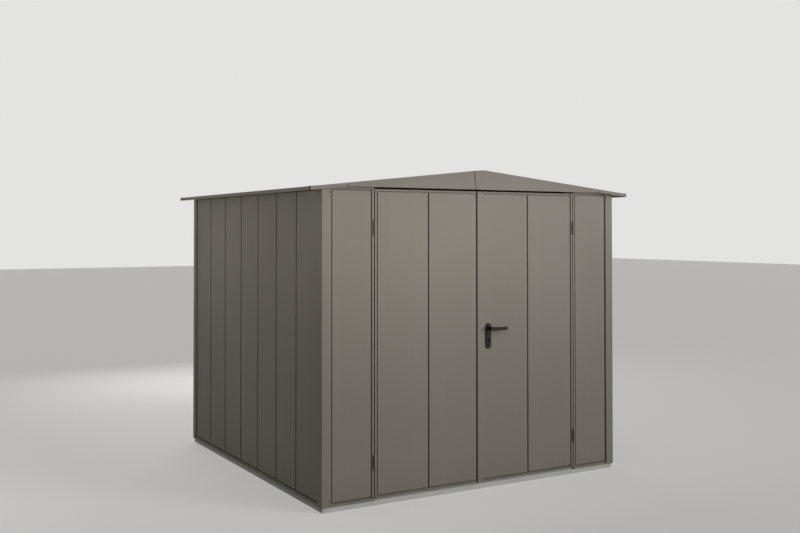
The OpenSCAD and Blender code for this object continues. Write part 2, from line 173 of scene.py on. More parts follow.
def folded(corners, radius, steps=4, loop=True, hold=1.0):
    # Rounds an outline's corners: between the points a and b that lie one radius before and after
    # corner c it follows (1-t)^2 a + 2t(1-t) c + t^2 b. A point just outside each end of the curve
    # keeps the flat beside it flat in smooth shading.
    corners = np.asarray(corners, float)
    back = np.roll(corners, 1, axis=0) - corners
    ahead = np.roll(corners, -1, axis=0) - corners
    backLen = np.linalg.norm(back, axis=1)
    aheadLen = np.linalg.norm(ahead, axis=1)
    reach = np.minimum(np.broadcast_to(radius, backLen.shape), 0.42 * np.minimum(backLen, aheadLen))
    extra = np.minimum(hold, 0.06 * np.minimum(backLen, aheadLen))
    back = back / backLen[:, None]
    ahead = ahead / aheadLen[:, None]
    t = np.linspace(0, 1, steps + 1)[None, :, None]
    c = corners[:, None]
    a = c + (back * reach[:, None])[:, None]
    b = c + (ahead * reach[:, None])[:, None]
    curve = (1 - t) ** 2 * a + 2 * t * (1 - t) * c + t ** 2 * b
    first = c + (back * (reach + extra)[:, None])[:, None]
    last = c + (ahead * (reach + extra)[:, None])[:, None]
    groups = np.concatenate([first, curve, last], axis=1)
    if loop:
        return groups.reshape(-1, corners.shape[1])
    return np.vstack([corners[:1], groups[1:-1].reshape(-1, corners.shape[1]), corners[-1:]])


def along(outline, spots, axis=0):
    # carries an outline straight along one axis; the outline may differ from spot to spot
    outline = np.asarray(outline)
    parts = [outline[..., 0], outline[..., 1]]
    parts.insert(axis, np.asarray(spots, float)[:, None])
    return grid(*parts)


def bar(corners, spots, axis=0, radius=1.5, steps=3):
    # a closed outline with rounded corners carried straight along one axis
    return solid(along(folded(corners, radius, steps), spots, axis))


def block(x, y, z, radius=1.0):
    # a folded box: its outline in x and y carried up z
    return bar([(x[0], y[0]), (x[1], y[0]), (x[1], y[1]), (x[0], y[1])], z, 2, radius)


def foldedSheet(corners, radius, spots, direction, steps=5, hold=0.8):
    # an open sheet: its folded outline in x and z carried along y, with its faces towards direction
    path = folded(corners, radius, steps, False, hold)
    return facing(gridShape(along(path, spots, 1)), direction)


def lathe(profile, centre, axis, around, loop=False):
    # turns a profile of (radius, distance along the axis) round a line; loop closes a ring with a bore
    profile = np.asarray(profile, float)
    angle = np.linspace(0, 2 * np.pi, around, endpoint=False)
    side = [(1, 2), (2, 0), (0, 1)][axis]
    rows = np.empty((len(profile), around, 3))
    rows[..., axis] = profile[:, 1:2] + centre[axis]
    rows[..., side[0]] = profile[:, :1] * np.cos(angle) + centre[side[0]]
    rows[..., side[1]] = profile[:, :1] * np.sin(angle) + centre[side[1]]
    return closed(gridShape(rows, True, (not loop, not loop), loop))


def scattered(shape, spots, turn=np.eye(3)):
    # one small shape, turned and set down at every spot
    points, quads, ends = shape
    spots = np.asarray(spots, float).reshape(-1, 3)
    moved = (points @ np.asarray(turn).T)[None] + spots[:, None]
    shift = np.arange(len(spots)) * len(points)
    allQuads = (quads[None] + shift[:, None, None]).reshape(-1, 4)
    allEnds = [end + s for s in shift for end in ends]
    return moved.reshape(-1, 3), allQuads, allEnds


def hexColour(code):
    # sRGB hex to linear RGBA
    value = np.array([int(code[k:k + 2], 16) for k in (1, 3, 5)]) / 255
    linear = np.where(value <= 0.04045, value / 12.92, ((value + 0.055) / 1.055) ** 2.4)
    return tuple(float(v) for v in linear) + (1.0,)


def feed(tree, node, links):
    # joins inputs to what feeds them: an output, or a node for the first of its outputs
    for key, source in links.items():
        output = source.outputs[0] if isinstance(source, bpy.types.Node) else source
        tree.links.new(output, node.inputs[key])


def addNode(tree, kind, settings={}, links={}):
    # adds a node; settings are attributes or input values
    node = tree.nodes.new("ShaderNode" + kind)
    for key, value in settings.items():
        if isinstance(key, str) and key in node.bl_rna.properties:
            setattr(node, key, value)
        else:
            node.inputs[key].default_value = value
    feed(tree, node, links)
    return node


def newMaterial(name, colour, metallic, roughness, ior=1.5, specular=0.5):
    material = bpy.data.materials.new(name)
    material.use_nodes = True
    material.diffuse_color = hexColour(colour)
    tree = material.node_tree
    shader = tree.nodes["Principled BSDF"]
    shader.inputs["Base Color"].default_value = hexColour(colour)
    shader.inputs["Metallic"].default_value = metallic
    shader.inputs["Roughness"].default_value = roughness
    shader.inputs["Specular IOR Level"].default_value = specular
    if not metallic:
        shader.inputs["IOR"].default_value = ior
    place = addNode(tree, "TexCoord").outputs["Object"]
    return material, tree, shader, place


def patches(tree, place, size, low, high, detail=2.0, stretch=(1, 1, 1)):
    # noise in patches about size metres across, read from 0 at low to 1 at high
    spot = addNode(tree, "Mapping", {"Scale": stretch}, {"Vector": place})
    noise = addNode(tree, "TexNoise", {"Scale": 0.5 / size, "Detail": detail}, {"Vector": spot})
    return addNode(tree, "MapRange", {"From Min": low, "From Max": high}, {"Value": noise})


def speckle(tree, place, size, low, high, colours, detail=2.0):
    # patches spread from the first colour to the second, and their mask
    mask = patches(tree, place, size, low, high, detail)
    mixed = addNode(tree, "Mix", {"data_type": "RGBA", 6: hexColour(colours[0]), 7: hexColour(colours[1])},
                    {0: mask})
    return mixed.outputs[2], mask


def tinted(tree, base, tint, amount, mask):
    # lays a tint over a colour where mask is high
    strength = addNode(tree, "Math", {"operation": "MULTIPLY", 1: amount}, {0: mask})
    mixed = addNode(tree, "Mix", {"data_type": "RGBA", 7: hexColour(tint)}, {0: strength, 6: base})
    return mixed.outputs[2]


def bumps(tree, place, scale, detail, strength, distance, under={}):
    # noise as a relief, distance metres high at full strength, laid over another one
    noise = addNode(tree, "TexNoise", {"Scale": scale, "Detail": detail}, {"Vector": place})
    return addNode(tree, "Bump", {"Strength": strength, "Distance": distance}, {"Height": noise, **under})


def powderCoat(name, light, dark, roughness):
    # Powder-coated steel: an even satin grey-brown with a very fine orange peel, faint cloudiness
    # from panel to panel, thin rain streaks and patches that darken towards the ground.
    material, tree, shader, place = newMaterial(name, light, 0.0, roughness, 1.5, 0.18)
    colour, cloud = speckle(tree, place, 0.7, 0.3, 0.7, (light, dark))
    streak = patches(tree, place, 0.03, 0.52, 0.75, 3.0, (1, 1, 0.03))
    colour = tinted(tree, colour, "#8f8a7e", 0.10, streak)
    height = addNode(tree, "SeparateXYZ", {}, {0: place}).outputs["Z"]
    # darker in noisy patches from about 260 mm above the ground down to it
    low = addNode(tree, "MapRange", {"From Min": 0.26, "From Max": 0.04}, {"Value": height})
    lowPatchNoise = addNode(tree, "TexNoise", {"Scale": 34.0, "Detail": 6.0}, {"Vector": place})
    lowDarkening = addNode(tree, "Math", {"operation": "MULTIPLY"}, {0: low, 1: lowPatchNoise})
    colour = tinted(tree, colour, "#5f574b", 0.28, lowDarkening)
    gloss = addNode(tree, "MapRange", {"To Min": roughness - 0.04, "To Max": roughness + 0.05},
                    {"Value": cloud})
    # orange peel is about 1.5 mm from dimple to dimple; drawn at 4 mm so that it shows close up
    peel = bumps(tree, place, 250.0, 2.0, 0.25, 0.00012)
    # flat sheet is never quite flat: waves of under a millimetre over a hand's breadth or two
    waves = bumps(tree, place, 2.6, 0.0, 0.6, 0.0012, {"Normal": peel})
    feed(tree, shader, {"Base Color": colour, "Roughness": gloss, "Normal": waves})
    return material


def castConcrete():
    # Cast concrete: pale grey with cement clouds, sand specks and small open pores; dry and matt.
    material, tree, shader, place = newMaterial("castConcrete", "#c4c3c0", 0.0, 0.88)
    colour = speckle(tree, place, 0.12, 0.3, 0.72, ("#c9c8c5", "#b9b8b5"), 5.0)[0]
    sand = addNode(tree, "TexNoise", {"Scale": 420.0, "Detail": 2.0}, {"Vector": place})
    specks = addNode(tree, "MapRange", {"From Min": 0.56, "From Max": 0.7}, {"Value": sand})
    colour = tinted(tree, colour, "#96948f", 0.5, specks)
    # the pores are tinted darker: painted shade inside the small holes
    cells = addNode(tree, "TexVoronoi", {"Scale": 70.0}, {"Vector": place})
    pores = addNode(tree, "MapRange", {"From Min": 0.16, "From Max": 0.07},
                    {"Value": cells.outputs["Distance"]})
    colour = tinted(tree, colour, "#6f6d68", 0.7, pores)
    grain = addNode(tree, "Bump", {"Strength": 0.5, "Distance": 0.0006}, {"Height": sand})
    hole = addNode(tree, "Bump", {"Strength": 0.6, "Distance": 0.001, "invert": True},
                   {"Height": pores, "Normal": grain})
    feed(tree, shader, {"Base Color": colour, "Normal": hole})
    return material


def galvanised(name, light, dark, roughness):
    # Hot-dip galvanised steel: soft metallic grey broken into zinc crystals 15 mm across that each
    # catch the light a little differently.
    material, tree, shader, place = newMaterial(name, light, 1.0, roughness)
    crystal = addNode(tree, "TexVoronoi", {"Scale": 62.0}, {"Vector": place})
    grey = addNode(tree, "RGBToBW", {}, {0: crystal.outputs["Color"]})
    mixed = addNode(tree, "Mix", {"data_type": "RGBA", 6: hexColour(dark), 7: hexColour(light)}, {0: grey})
    gloss = addNode(tree, "MapRange", {"To Min": roughness - 0.08, "To Max": roughness + 0.12},
                    {"Value": grey})
    bump = addNode(tree, "Bump", {"Strength": 0.15, "Distance": 0.0003}, {"Height": grey})
    feed(tree, shader, {"Base Color": mixed.outputs[2], "Roughness": gloss, "Normal": bump})
    return material


def blackNylon():
    # Glass-filled black nylon: near black, satin, with the fine grain of its mould.
    material, tree, shader, place = newMaterial("blackNylon", "#1a1817", 0.0, 0.55, 1.53, 0.14)
    colour = speckle(tree, place, 0.02, 0.35, 0.7, ("#181615", "#201e1c"), 4.0)[0]
    feed(tree, shader, {"Base Color": colour, "Normal": bumps(tree, place, 900.0, 1.0, 0.35, 0.0001)})
    return material


def handled(name, light, dark, metallic, roughness):
    # Small plated parts and rubber: one even colour with the marks of handling in its gloss.
    material, tree, shader, place = newMaterial(name, light, metallic, roughness)
    colour, cloud = speckle(tree, place, 0.006, 0.35, 0.7, (light, dark), 4.0)
    gloss = addNode(tree, "MapRange", {"To Min": roughness - 0.06, "To Max": roughness + 0.1},
                    {"Value": cloud})
    feed(tree, shader, {"Base Color": colour, "Roughness": gloss})
    return material


# a finish is a material and the record's slot that it stands for
wallPaint = (powderCoat("powderCoatedSteelWall", "#807b70", "#7c776c", 0.5), "wall_paint")
doorPaint = (powderCoat("powderCoatedSteelDoor", "#807b70", "#7d786d", 0.5), "door_paint")
roofPaint = (powderCoat("powderCoatedSteelRoof", "#7b766c", "#777268", 0.5), "roof_paint")
# lighter than the wall paint: painted highlight for the lit side of the hinge barrels
hingeLightenedPaint = (powderCoat("paintedSteelHingeLightened", "#8b867b", "#858075", 0.4), "hinge_steel")
concrete = (castConcrete(), "slab_concrete")
zincSheet = (galvanised("galvanisedSteel", "#b9bcbe", "#9ea1a4", 0.38), "galvanised_steel")
# a darker copy of the galvanised finish: painted shade for the sill in the shadow under the leaves
shadedSillZinc = (galvanised("galvanisedSillShaded", "#8f9192", "#7a7c7d", 0.45), "sill_steel")
nylon = (blackNylon(), "handle_plastic")
blackPlating = (handled("blackPlatedBrass", "#1d1c1b", "#151514", 1.0, 0.35), "cylinder_black")
zincScrew = (handled("zincPlatedScrew", "#8d8b87", "#77756f", 1.0, 0.4), "galvanised_steel")
paintedScrew = (powderCoat("paintedScrewHead", "#4b473f", "#433f38", 0.4), "hinge_steel")
# near-black paint on the trim clips and rivets; on the clips it is painted shade for the dark gap at the
# joint of the trims
clipPaint = (powderCoat("nearBlackClipAndRivetPaint", "#33302b", "#2e2b27", 0.4), "hinge_steel")
rubber = (handled("rubberWasher", "#1b1b1b", "#141414", 0.0, 0.7), "hinge_steel")
smoothAngle = 38.0   # degrees; folds sharper than this keep a crease
print("materials ready")


def addObject(name, data):
    holder = bpy.data.objects.new(name, data)
    bpy.context.scene.collection.objects.link(holder)
    return holder


def makePiece(name, shapes, finish, nodes=(), body="shell", sheet=0.0):
    # joins shapes into one mesh and puts it on its body; sheet is the thickness in millimetres that an
    # open sheet gets on its inner side
    shift = 0
    allPoints, allFaces = [], []
    for points, quads, ends in shapes:
        allPoints.append(points)
        allFaces.extend((quads + shift).tolist())
        allFaces.extend((end + shift).tolist() for end in ends)
        shift += len(points)
    mesh = bpy.data.meshes.new(name)
    mesh.from_pydata((np.vstack(allPoints) * mm).tolist(), [], allFaces)
    mesh.shade_smooth()
    mesh.set_sharp_from_angle(angle=math.radians(smoothAngle))
    mesh.materials.append(finish[0])
    piece = addObject(name, mesh)
    if sheet:
        # a sheet's open edges stay crisp when the modifier gives it its thickness
        edgeOf = np.empty(len(mesh.loops), dtype=np.int32)
        mesh.loops.foreach_get("edge_index", edgeOf)
        sharp = np.empty(len(mesh.edges), dtype=bool)
        mesh.edges.foreach_get("use_edge_sharp", sharp)
        mesh.edges.foreach_set("use_edge_sharp", sharp | (np.bincount(edgeOf, minlength=len(sharp)) == 1))
        solidify = piece.modifiers.new("sheet", "SOLIDIFY")
        solidify.thickness = sheet * mm
        solidify.offset = -1
    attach(piece, body)
    if nodes:
        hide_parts(*nodes)


def makePair(name, shapes, finish, node, onLeaf=False, sheet=0.0):
    # a piece on the right and its mirror image on the left, on the shell or on the two leaves
    for side, sideShapes in (("Right", shapes), ("Left", mirrored(shapes))):
        body = side.lower() + "_leaf" if onLeaf else "shell"
        makePiece(name + side, sideShapes, finish, [node + side.lower()], body, sheet)


slab = {"edgeRadius": 3.0, "pointEvery": 14.0, "roughness": 0.9, "chip": 2.2, "arrisReach": 2.5,
        "waves": ((9.1, 0.4), (17.3, 2.1), (31.7, 4.4), (83.0, 1.3)),   # length and phase of each
        "nickWaves": ((61.0, 0.8), (23.0, 2.0)), "nickFrom": 0.72, "nickGain": 3.5}


def slabShape():
    # Rings round the slab from its underside to its top: a rounded-edge section drawn in by a sum of
    # sines of the distance round the edge, and at the two arrises by nicks where two sines meet high.
    high = boxOf("floor_slab")[1]
    perSide = int(2 * high[0] / slab["pointEvery"])
    t = np.linspace(-1, 1, perSide, endpoint=False)
    ones = np.ones_like(t)
    outline = np.vstack([np.stack([t, -ones], 1), np.stack([ones, t], 1),
                         np.stack([-t, ones], 1), np.stack([-ones, -t], 1)])
    section = folded([(400, 0), (0, 0), (0, high[2]), (400, high[2])], slab["edgeRadius"], 4, False, 6.0)
    section = section[1:-1]   # the far points only say which way the two faces run
    distance = np.arange(len(outline)) * slab["pointEvery"]
    wobble = sum(np.sin(distance / length + phase) for length, phase in slab["waves"]) / len(slab["waves"])
    nick = np.prod([np.sin(distance / length + phase) for length, phase in slab["nickWaves"]], axis=0)
    nick = np.clip(nick - slab["nickFrom"], 0, 1) * slab["nickGain"]
    arris = np.exp(-np.minimum(section[:, 1], high[2] - section[:, 1]) / slab["arrisReach"])
    inset = section[:, :1] + slab["roughness"] * (0.5 + 0.5 * wobble) + slab["chip"] * arris[:, None] * nick
    return solid(grid(outline[:, 0] * (high[0] - inset), outline[:, 1] * (high[1] - inset), section[:, 1:]))


makePiece("concreteSlab", [slabShape()], concrete, ["floor_slab"])
print("slab made")

# postCell, baseCell and topCell are the middles of the grooves round the trays. Between, rowBetween and
# foot say how many half grooves a tray keeps from the middle of a groove that is wider than the rest.
wall = {"trays": 7, "trayDepth": 22.0, "recess": 3.0, "sheet": 0.8, "flange": 16.0, "foldRadius": 1.3,
        "grooveWidth": 7.0, "grooveDepth": 11.0, "trayGroove": 19.0, "seam": 0.5,
        "between": 1.4, "rowBetween": 1.9, "foot": 2.2, "postCell": 67.0, "postEdge": 61.5, "baseFace": 17.5,
        "baseCell": 21.0, "topCell": 1967.0, "lipReach": 30.0, "lipDepth": 24.5, "railFoot": 42.0,
        "railBack": 59.0, "headLip": 33.0, "fit": 0.25, "roofRoom": 19.1}
half = wall["grooveWidth"] / 2


def pan(corners, inward, grooved, section):
    # A pressed tray. Ring k lies inset[k] inside the outline and depth[k] behind its face: its corner
    # is corners + inset * inward. An inset below zero, the shoulder under a groove, only counts along
    # the sides that have a groove.
    fold = wall["foldRadius"]
    path = folded(section, [fold, fold, 1.2, 1.0, 1.0, 1.0, 1.0][:len(section)], 5, False, 1.4)
    corners, inward, grooved = (np.asarray(v, float) for v in (corners, inward, grooved))
    inset = path[:, :1, None]
    flat = corners + np.where(inset < 0, inset * grooved, inset) * inward
    return facing(gridShape(grid(flat[..., 0], path[:, 1:], flat[..., 1]), True, (True, False)), (0, -1, 0))


shoulder = -half + wall["seam"] / 2
traySection = [(9, wall["recess"]), (0, wall["recess"]), (0, wall["trayGroove"]),
               (shoulder, wall["trayGroove"]), (shoulder, wall["trayDepth"]),
               (wall["flange"], wall["trayDepth"]), (wall["flange"], wall["trayDepth"] - 5)]
trayHeights = (wall["baseCell"], wall["topCell"])
leafBackDepth = wall["trayDepth"] - 0.4   # a leaf's tray lies flat against its stiles
leafSection = traySection[:4] + [(shoulder, leafBackDepth), (wall["flange"], leafBackDepth)]


def tray(x, z, groove, section=traySection):
    # a rectangular tray between the groove middles x and z, with grooves left, right, below and above
    g = groove
    left, right, low, high = x[0] + half * g[0], x[1] - half * g[1], z[0] + half * g[2], z[1] - half * g[3]
    return pan([(left, low), (right, low), (right, high), (left, high)],
               [(1, 1), (-1, 1), (-1, -1), (1, -1)],
               [(g[0], g[2]), (g[1], g[2]), (g[1], g[3]), (g[0], g[3])], section)


def trayRow(cells):
    # equal trays side by side; the groove between two trays is a little wider than one beside a post
    grooves = [1] + [wall["rowBetween"]] * (wall["trays"] - 1) + [1]
    return [tray(cells[k:k + 2], trayHeights, (grooves[k], grooves[k + 1], wall["foot"], 1))
            for k in range(wall["trays"])]


wallCells = {}
for side, halfLength in (("left", halfD), ("right", halfD), ("back", halfW)):
    reach = halfLength - wall["postCell"]
    wallCells[side] = np.linspace(-reach, reach, wall["trays"] + 1)
    makePiece(side + "WallTrays", placedAll(trayRow(wallCells[side]), onWall(side)), wallPaint,
              [side + "_wall_panels"], sheet=wall["sheet"])

door = {"opening": 822.0, "jambFace": 15.0, "jambDepth": 60.0, "stripHalf": 26.5, "rightFree": 19.5,
        "sideRim": 15.0, "endRim": 11.5, "leafDepth": 30.0, "stile": 60.0, "lockStile": 110.0,
        "stopReach": 22.0, "stopLap": 6.0, "stopGap": 6.0, "stopTop": 3.0, "meetWider": 3.2,
        "headGap": 15.0, "headSet": 15.0, "headHigh": 9.0, "sillHigh": 5.0, "sillStop": 22.0}
jambCell = door["opening"] + door["jambFace"] + half
stopDepth = door["leafDepth"] + door["stopGap"]
stopX = door["opening"] - door["stopReach"] - door["stopLap"]
frontSpan = (jambCell, halfW - wall["postCell"])
fixedTray = tray(frontSpan, trayHeights, (1, 1, wall["foot"], 1))
makePair("fixedTray", [placed(fixedTray, onFront)], wallPaint, "fixed_panel_", sheet=wall["sheet"])


def roofLine(x):
    # height over the slab of the roof's upper face
    return ridgeZ - abs(x) * slope


def underRoof(x):
    # height over the slab of the roof sheets' underside
    return roofLine(x) - wall["roofRoom"]


def railSpans(span, reach):
    # from where to where a rail's face, its shoulder between two posts and its lip behind them run
    lip = wall["lipReach"]
    return [(span[0] + a, span[1] - b) for a, b in
            ((-reach[0], -reach[1]), (wall["fit"], wall["fit"]), (lip, lip))]


def railShapes(span, reach):
    # A base rail: its rounded face, the shoulder under the groove, a lip behind the trays, and a foot
    # on the slab. Each is an outline in depth and height carried along the wall.
    gd, td, high = wall["grooveDepth"], wall["trayDepth"], wall["baseFace"]
    cell, foot, back = wall["baseCell"] - wall["fit"], td + wall["railFoot"], wall["railBack"]
    ends, inner, lip = railSpans(span, reach)
    return [bar([(0, 0), (gd, 0), (gd, high), (0, high)], ends, 0, [0.6, 0.3, 0.6, wall["foldRadius"]], 5),
            bar([(gd - 0.5, 0), (td, 0), (td, cell), (gd, cell), (gd, high), (gd - 0.5, high - 1)], inner,
                0, 0.4, 2),
            bar([(td, 0), (foot, 0), (foot, 2), (td + 3.4, 2), (td + 3.4, back), (td + 1, back + 0.5),
                 (td, back)], lip, 0, 0.8, 3)]


def headRailShapes(span, reach, spots, top):
    # A rail along the head of a wall; top(along, depth) is its height under the roof
    gd, td = wall["grooveDepth"], wall["trayDepth"]
    low = wall["topCell"] + half

    def strip(corners, radius, ends, steps=3):
        # an outline carried along the rail, whose upper points move up or down to the roof
        u = stations(ends[0], ends[1], spots)
        path = folded(corners, radius, steps)
        rows = np.repeat(path[None], len(u), axis=0)
        limit = np.maximum(top(u[:, None], rows[..., 0]), low + 2.6)
        rows[..., 1] = np.where(path[:, 1] > low + 3.4, limit, rows[..., 1])
        return solid(along(rows, u))

    ends, inner, lip = railSpans(span, reach)
    under = low - wall["headLip"]
    return [strip([(0, low), (gd, low), (gd, low + 8), (0, low + 8)], [1.6, 0.3, 0.3, 0.3], ends, 5),
            strip([(gd - 0.5, low + 1), (gd, low - 3.2), (td, low - 3.2), (td, low + 8), (gd - 0.5, low + 8)],
                  [0.2, 0.3, 0.3, 0.2, 0.2], inner, 2),
            strip([(td, under), (td + 3.6, under), (td + 3.6, low + 8), (td, low + 8)], 0.6, lip)]


def stations(start, end, others):
    # x from start to end with the others that lie between them
    return np.unique([start, end] + [v for v in others if start < v < end])


def sideTop(u, d):
    # at a side wall the roof rises with the depth behind the wall
    return underRoof(halfW - d)


def gableTop(u, d):
    # at a gable the roof rises along the wall
    return underRoof(u)


postReach = wall["postCell"] - wall["postEdge"] - wall["seam"]
jambReach = half - wall["seam"]
sideSpan = (wall["postCell"] - halfD, halfD - wall["postCell"])

sideRails = railShapes(sideSpan, (postReach, postReach))
for side in ("left", "right", "back"):
    makePiece("baseRail" + side.capitalize(), placedAll(sideRails, onWall(side)), wallPaint,
              ["base_rail_" + side])
frontRails = placedAll(railShapes(frontSpan, (jambReach, postReach)), onFront)
makePiece("baseRailFront", frontRails + mirrored(frontRails), wallPaint, ["base_rail_front"])

sideHeads = headRailShapes(sideSpan, (postReach, postReach), [], sideTop)
makePiece("headRailsSides", placedAll(sideHeads, onWall("left")) + placedAll(sideHeads, onWall("right")),
          wallPaint, ["top_rails"])
backHeads = headRailShapes(sideSpan, (postReach, postReach), [0.0], gableTop)
makePiece("gableSheetBack", placedAll(backHeads, onWall("back")), wallPaint, ["gable_sheet_back"])

headZ = leafTop + door["headGap"]
headTop = headZ + door["headHigh"]
frontHeads = placedAll(headRailShapes(frontSpan, (jambReach, postReach), [], gableTop), onFront)
jambIn = door["opening"] - 0.3
beam = [block((-jambIn, jambIn), (door["headSet"], stopDepth), (headZ, headTop)),
        block((-stopX, stopX), (stopDepth - 0.5, door["jambDepth"]), (headZ + 0.2, headTop - 0.2)),
        block((-stopX, stopX), (stopDepth, door["jambDepth"] - 1),
              (leafTop - door["stopReach"], leafTop - door["stopTop"]), 1.5)]
makePiece("frontHeader", frontHeads + mirrored(frontHeads) + placedAll(beam, onFront), wallPaint,
          ["front_header"])


def gableSheetShape():
    # a trapezoid sheet with a folded lower edge: an outline in depth and height whose top follows the roof
    u = np.linspace(-1, 1, 5) * stopX
    near, far = stopDepth + 1, door["jambDepth"]
    path = folded([(near, 0), (far, 0), (far, 100), (near, 100)], 1.2)
    rows = np.repeat(path[None], len(u), axis=0)
    rows[..., 1] = np.where(path[:, 1] > 50, underRoof(u)[:, None], rows[..., 1] + headTop)
    return solid(along(rows, u))


makePiece("gableSheetFront", [placed(gableSheetShape(), onFront)], wallPaint, ["gable_sheet_front"])


def postShape(corners, radius, steps, x=0.0):
    # a post's folded outline in x and depth, carried from the slab up to the slope of the roof sheet
    path = folded(corners, radius, steps) + [x, 0]
    height = np.stack([0 * path[:, 0], underRoof(path[:, 0])])
    return placed(solid(grid(path[:, 0], path[:, 1], height)), onFront)


def cornerPostShape():
    # an L of folded sheet whose two legs end in lips behind the trays, counted from the walls' corner
    p, e, c = -postOut, wall["postEdge"], wall["postCell"] - wall["fit"]
    gd, td, ld = wall["grooveDepth"], wall["trayDepth"], wall["lipDepth"]
    tip = wall["postCell"] + wall["lipReach"]
    leg = [(p, p), (e, p), (e, gd), (c, gd), (c, td), (tip, td), (tip, ld), (ld, ld)]
    corners = leg + [(y, x) for x, y in leg[6:0:-1]]
    fold = [3.0, 2.2, 0.8, 0.4, 0.4, 0.6, 0.6, 1.5]
    return postShape(corners, fold + fold[6:0:-1], 6, -halfW)


post = cornerPostShape()
for end, ended in (("Front", post), ("Back", flipY(post))):
    for side, shape in (("Left", ended), ("Right", flipX(ended))):
        makePiece("cornerPost" + end + side, [shape], wallPaint,
                  ["corner_post_" + end.lower() + "_" + side.lower()])


def doorPostShape():
    # the door post's folded outline: its face, the shoulder and lip behind the tray, and the door stop
    o, f, e = door["opening"], door["opening"] + door["jambFace"], jambCell - wall["fit"]
    gd, td, ld, jd = wall["grooveDepth"], wall["trayDepth"], wall["lipDepth"], door["jambDepth"]
    tip = e + wall["lipReach"]
    corners = [(o, 0), (f, 0), (f, gd), (e, gd), (e, td), (tip, td), (tip, ld), (e, ld), (e, jd),
               (stopX, jd), (stopX, stopDepth), (o, stopDepth)]
    return postShape(corners, [2.2, 2.2, 0.8, 0.4, 0.4, 0.6, 0.6, 0.8, 2.0, 2.0, 2.0, 1.5], 5)


makePair("doorPost", [doorPostShape()], wallPaint, "door_post_")

sillEnd = door["opening"] - 0.4
sillShapes = [block((-sillEnd, sillEnd), (door["headSet"], stopDepth), (0, door["sillHigh"])),
              block((-stopX, stopX), (stopDepth - 0.5, door["jambDepth"]), (0, door["sillHigh"] - 0.2)),
              block((-stopX, stopX), (stopDepth, stopDepth + 3), (door["sillHigh"] - 1, door["sillStop"]))]
makePiece("doorThreshold", placedAll(sillShapes, onFront), shadedSillZinc, ["door_threshold"])
print("walls made")


def leafRim(free):
    # The rim round a leaf's trays: a closed outline of (side inset, end inset, depth) mitred round
    # three sides, from the free edge along the bottom, up the hinge side and back along the top
    depth, gd, side, end = door["leafDepth"], wall["grooveDepth"], door["sideRim"], door["endRim"]
    corners = [(0, 0, 0), (side, end, 0), (side, end, gd), (side + half, end + half, gd + 0.3),
               (side + half, end + half, depth - 0.5), (0, 0, depth - 0.5)]
    s, e, d = folded(corners, [2.2, 2.2, 0.6, 0.4, 0.4, 1.5], 5).T
    x = np.stack([0 * s + free, leafEdge - s, leafEdge - s, 0 * s + free])
    z = np.stack([leafBottom + e, leafBottom + e, leafTop - e, leafTop - e])
    return solid(grid(x, d, z))


def leafBack(free, freeStile):
    # Flat rails and stiles behind the trays: a ring mitred round four sides, and a middle stile. The
    # ring's outline runs from its outer edge, at inset 0, to its inner edge, at inset 1.
    depth, front, w = door["leafDepth"], wall["trayDepth"], door["stile"]
    outline = folded([(0, 0, front), (0, 0, depth), (1, 1, depth), (1, 1, front)], [0.01, 1.6, 1.6, 0.01], 4)
    inset = outline[:, 0]
    stileIn, freeIn = (np.where(inset > 0.5, width - (1 - inset) * 3, 0.6 + inset * 3)
                       for width in (w, freeStile))
    x = np.stack([free + freeIn, leafEdge - stileIn, leafEdge - stileIn, free + freeIn])
    z = np.stack([leafBottom + stileIn, leafBottom + stileIn, leafTop - stileIn, leafTop - stileIn])
    ring = closed(gridShape(grid(x, outline[:, 2], z), True, loop=True))
    stile = block((midCell - w / 2, midCell + w / 2), (front, depth - 0.3),
                  (leafBottom + w - 1, leafTop - w + 1), 1.6)
    return [ring, stile]


rimCell = leafEdge - door["sideRim"] - half
midCell = (rimCell - half + door["stripHalf"]) / 2
leafHeights = (leafBottom + door["endRim"] + half, leafTop - door["endRim"] - half)


def lockTray():
    # The right leaf's first tray with its cover strip in one sheet: a rectangle that stands up and down
    # past the others along the free edge, so its outline has eight corners
    free, strip = -door["rightFree"] + door["meetWider"], door["stripHalf"] + 0.3
    wide, foot = wall["between"], wall["foot"]
    right, low, high = midCell - half * wide, leafHeights[0] + half * foot, leafHeights[1] - half
    corners = [(free, leafBottom), (strip, leafBottom), (strip, low), (right, low), (right, high),
               (strip, high), (strip, leafTop), (free, leafTop)]
    inward = [(1, 1), (-1, 1), (-1, 1), (-1, 1), (-1, -1), (-1, -1), (-1, -1), (1, -1)]
    grooved = [(0, 0), (0, 0), (0, foot), (wide, foot), (wide, 1), (0, 1), (0, 0), (0, 0)]
    return pan(corners, inward, grooved, leafSection)


outerTray = tray((midCell, rimCell), leafHeights, (wall["between"], 1, wall["foot"], 1), leafSection)
leftInner = tray((door["stripHalf"] + door["meetWider"], midCell), leafHeights,
                 (0, wall["between"], wall["foot"], 1), leafSection)
rightFrame = [leafRim(door["stripHalf"] + 0.6)] + leafBack(-door["rightFree"], door["lockStile"])
leftFrame = [leafRim(door["stripHalf"])] + leafBack(door["stripHalf"], door["stile"])
makePiece("rightLeafTrays", placedAll([outerTray, lockTray()], onFront), doorPaint, ["right_door_panels"],
          "right_leaf", wall["sheet"])
makePiece("leftLeafTrays", mirrored(placedAll([outerTray, leftInner], onFront)), doorPaint,
          ["left_door_panels"], "left_leaf", wall["sheet"])
makePiece("rightLeafFrame", placedAll(rightFrame, onFront), doorPaint, ["right_door_frame"], "right_leaf")
makePiece("leftLeafFrame", mirrored(placedAll(leftFrame, onFront)), doorPaint, ["left_door_frame"],
          "left_leaf")
print("doors made")

hinge = {"x": 819.0, "out": 8.5, "length": 91.0, "gap": 0.5, "barrel": 6.3, "pin": 3.5, "pinUp": 39.0,
         "tab": 2.5, "tabSet": 3.0, "tabDeep": 20.0, "room": 0.05}
hingeZ = (boxOf("hinge_pins_right")[0][2] - slabTop,
          boxOf("hinge_sleeves_right")[1][2] - slabTop - hinge["length"])


